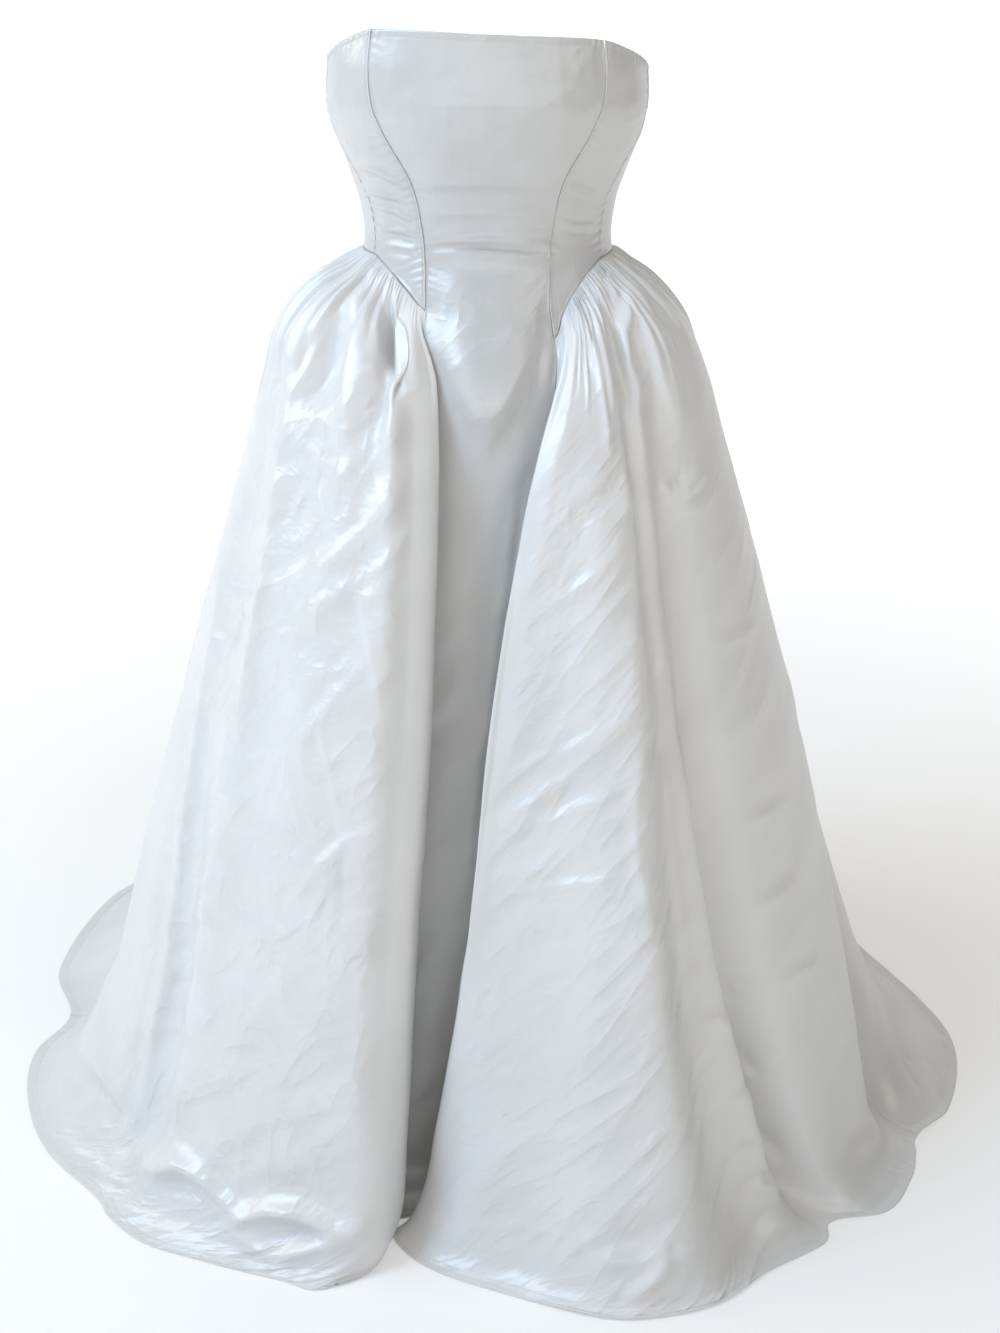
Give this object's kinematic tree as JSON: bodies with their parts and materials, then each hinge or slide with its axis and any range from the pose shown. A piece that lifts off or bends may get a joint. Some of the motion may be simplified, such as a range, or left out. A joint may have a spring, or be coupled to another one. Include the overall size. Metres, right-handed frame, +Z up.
{
  "type": "strapless a-line gown",
  "caption": "Strapless gown in white satin with a princess-seamed bodice, a pointed waist seam and a full gathered skirt with a short train.",
  "frame": {"origin": "middle of the bodice at its narrowest level, the waist, 1.08 m above the floor that the hem lies on", "axes": "+Z up, -Y towards the front of the gown, +X towards the wearer's left"},
  "size_m": [1.2105, 1.2837, 1.2947],
  "materials": {
    "satin": "white heavy satin with a soft sheen"
  },
  "bodies": {
    "root": {"front_panel": "satin", "bodice_side_front_left": "satin", "bodice_side_front_right": "satin", "bodice_back_left": "satin", "bodice_back_right": "satin", "skirt_front_left": "satin", "skirt_front_right": "satin", "skirt_back_left": "satin", "skirt_back_right": "satin"}
  },
  "joints": []
}
